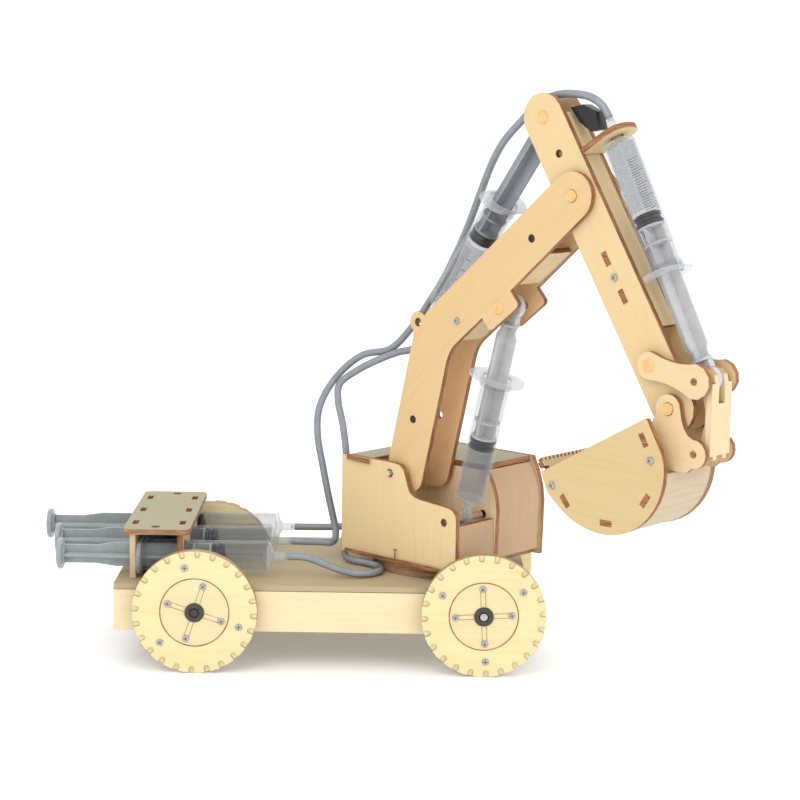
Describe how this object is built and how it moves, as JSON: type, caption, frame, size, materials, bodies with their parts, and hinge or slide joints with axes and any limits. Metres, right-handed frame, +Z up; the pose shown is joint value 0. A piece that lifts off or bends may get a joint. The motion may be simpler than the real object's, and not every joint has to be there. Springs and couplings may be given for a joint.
{
  "type": "hydraulic toy excavator",
  "caption": "Wheeled plywood toy excavator whose boom, stick and bucket are pushed by syringes joined by hoses to hand syringes on the deck.",
  "frame": {"origin": "on the ground, under the middle of the whole object's box at rest", "axes": "+X towards the front of the chassis, +Z up, +Y to the chassis's left"},
  "size_m": [0.3676, 0.222, 0.3112],
  "materials": {
    "plywood": "bare birch plywood with burnt laser-cut edges",
    "pale_plywood": "pale bare birch plywood with burnt laser-cut edges",
    "dowel": "round wooden dowel, orange end grain",
    "barrel": "clear polypropylene syringe barrel",
    "plunger": "milky syringe plunger with a dark rubber seal",
    "hose": "soft clear grey tubing",
    "steel": "bright zinc-plated steel"
  },
  "bodies": {
    "chassis": {"deck": "plywood", "side_near": "pale_plywood", "side_far": "pale_plywood", "end_rear": "pale_plywood", "end_front": "pale_plywood", "swing_ring": "plywood", "stand_plate": "plywood", "stand_panel_rear": "plywood", "stand_panel_front": "plywood", "control_barrel_near": "barrel", "control_barrel_middle": "barrel", "control_barrel_far": "barrel", "hose_boom": "hose", "hose_stick": "hose", "hose_bucket": "hose"},
    "axle_rear_set": {"axle_rear": "steel", "wheel_rear_near": "pale_plywood", "wheel_rear_far": "pale_plywood"},
    "axle_front_set": {"axle_front": "steel", "wheel_front_near": "pale_plywood", "wheel_front_far": "pale_plywood"},
    "control_plunger_near": {"control_plunger_near": "plunger"},
    "control_plunger_middle": {"control_plunger_middle": "plunger"},
    "control_plunger_far": {"control_plunger_far": "plunger"},
    "turret": {"turn_disc": "plywood", "turret_floor": "plywood", "turret_panel_near": "plywood", "turret_panel_middle": "plywood", "turret_panel_far": "plywood", "turret_panel_rear": "plywood", "cab_front": "plywood", "cab_roof": "plywood", "bay_front": "plywood", "boom_pin": "steel"},
    "boom": {"boom_plate_near": "plywood", "boom_plate_far": "plywood", "boom_spacer_bend": "plywood", "boom_spacer_arm": "plywood", "stick_dowel": "dowel"},
    "stick": {"stick_plate_near": "plywood", "stick_plate_far": "plywood", "stick_spacer": "plywood", "syringe_holder": "plywood", "bucket_dowel": "dowel"},
    "idler": {"idler_link_near": "plywood", "idler_link_far": "plywood"},
    "h_link": {"h_link": "plywood"},
    "bucket": {"bucket_side_near": "plywood", "bucket_side_far": "plywood", "bucket_shell": "plywood", "tooth_plate": "plywood", "bucket_bracket_near": "plywood", "bucket_bracket_far": "plywood"},
    "boom_syringe_barrel": {"boom_barrel": "barrel"},
    "boom_syringe_plunger": {"boom_plunger": "plunger"},
    "stick_syringe_barrel": {"stick_barrel": "barrel"},
    "stick_syringe_plunger": {"stick_plunger": "plunger"},
    "bucket_syringe_barrel": {"bucket_barrel": "barrel"},
    "bucket_syringe_plunger": {"bucket_plunger": "plunger"}
  },
  "joints": [
    {"name": "swing", "type": "hinge", "parent": "chassis", "child": "turret", "pos_m": [0.04318, 0.04403, 0.04691], "axis": [0, 0, 1], "range_deg": [-25, 70], "deforming": ["hose_boom", "hose_stick", "hose_bucket"]},
    {"name": "boom_lift", "type": "hinge", "parent": "turret", "child": "boom", "pos_m": [0.02588, 0.03304, 0.10241], "axis": [-0.6691, -0.7431, 0], "range_deg": [-12, 16]},
    {"name": "stick_swing", "type": "hinge", "parent": "boom", "child": "stick", "pos_m": [0.11134, -0.04392, 0.25891], "axis": [-0.6691, -0.7431, 0], "range_deg": [-10, 18]},
    {"name": "bucket_curl", "type": "hinge", "parent": "stick", "child": "bucket", "pos_m": [0.15787, -0.08581, 0.15876], "axis": [-0.6691, -0.7431, 0], "range_deg": [-20, 24]},
    {"name": "axle_rear_spin", "type": "hinge", "parent": "chassis", "child": "axle_rear_set", "pos_m": [-0.08882, 0.04403, 0.03341], "axis": [0, 1, 0], "continuous": true},
    {"name": "axle_front_spin", "type": "hinge", "parent": "chassis", "child": "axle_front_set", "pos_m": [0.06518, 0.04403, 0.03341], "axis": [0, 1, 0], "continuous": true},
    {"name": "boom_barrel_rock", "type": "hinge", "parent": "turret", "child": "boom_syringe_barrel", "pos_m": [0.05523, 0.0066, 0.08091], "axis": [-0.6691, -0.7431, 0], "range_deg": [-11, 14.7]},
    {"name": "boom_plunger_slide", "type": "slide", "parent": "boom_syringe_barrel", "child": "boom_syringe_plunger", "axis": [0.1835, -0.1653, 0.969], "range_m": [-0.00904, 0.01205]},
    {"name": "stick_barrel_rock", "type": "hinge", "parent": "boom", "child": "stick_syringe_barrel", "pos_m": [0.03643, 0.02353, 0.18631], "axis": [-0.6691, -0.7431, 0], "range_deg": [-1.4, 2.5]},
    {"name": "stick_plunger_slide", "type": "slide", "parent": "stick_syringe_barrel", "child": "stick_syringe_plunger", "axis": [0.4291, -0.3864, 0.8165], "range_m": [-0.01255, 0.00698]},
    {"name": "bucket_barrel_rock", "type": "hinge", "parent": "stick", "child": "bucket_syringe_barrel", "pos_m": [0.12394, -0.05526, 0.28971], "axis": [-0.6691, -0.7431, 0], "range_deg": [-1.5, 1.8]},
    {"name": "bucket_plunger_slide", "type": "slide", "parent": "bucket_syringe_barrel", "child": "bucket_syringe_plunger", "axis": [0.3416, -0.3076, -0.8881], "range_m": [-0.00504, 0.0042]},
    {"name": "idler_swing", "type": "hinge", "parent": "stick", "child": "idler", "pos_m": [0.14874, -0.07759, 0.1788], "axis": [-0.6691, -0.7431, 0], "range_deg": [-11.1, 13.3]},
    {"name": "h_link_swing", "type": "hinge", "parent": "bucket", "child": "h_link", "pos_m": [0.16945, -0.09624, 0.13841], "axis": [-0.6691, -0.7431, 0], "range_deg": [-11.9, 9.9]},
    {"name": "control_stick_slide", "type": "slide", "parent": "chassis", "child": "control_plunger_near", "axis": [1, 0, 0], "range_m": [-0.01255, 0.00698]},
    {"name": "control_bucket_slide", "type": "slide", "parent": "chassis", "child": "control_plunger_middle", "axis": [1, 0, 0], "range_m": [-0.00504, 0.0042]},
    {"name": "control_boom_slide", "type": "slide", "parent": "chassis", "child": "control_plunger_far", "axis": [1, 0, 0], "range_m": [-0.00904, 0.01205]}
  ],
  "couplings": [
    {"joint": "boom_barrel_rock", "follows": "boom_lift", "ratio": 0.91},
    {"joint": "boom_plunger_slide", "follows": "boom_lift", "m_per_rad": 0.0431},
    {"joint": "control_boom_slide", "follows": "boom_lift", "m_per_rad": 0.0431},
    {"joint": "stick_barrel_rock", "follows": "stick_swing", "ratio": 0.131},
    {"joint": "stick_plunger_slide", "follows": "stick_swing", "m_per_rad": -0.0399},
    {"joint": "control_stick_slide", "follows": "stick_swing", "m_per_rad": -0.0399},
    {"joint": "bucket_barrel_rock", "follows": "bucket_curl", "ratio": 0.069},
    {"joint": "bucket_plunger_slide", "follows": "bucket_curl", "m_per_rad": -0.012},
    {"joint": "control_bucket_slide", "follows": "bucket_curl", "m_per_rad": -0.012},
    {"joint": "idler_swing", "follows": "bucket_curl", "ratio": 0.55},
    {"joint": "h_link_swing", "follows": "bucket_curl", "ratio": -0.49}
  ]
}
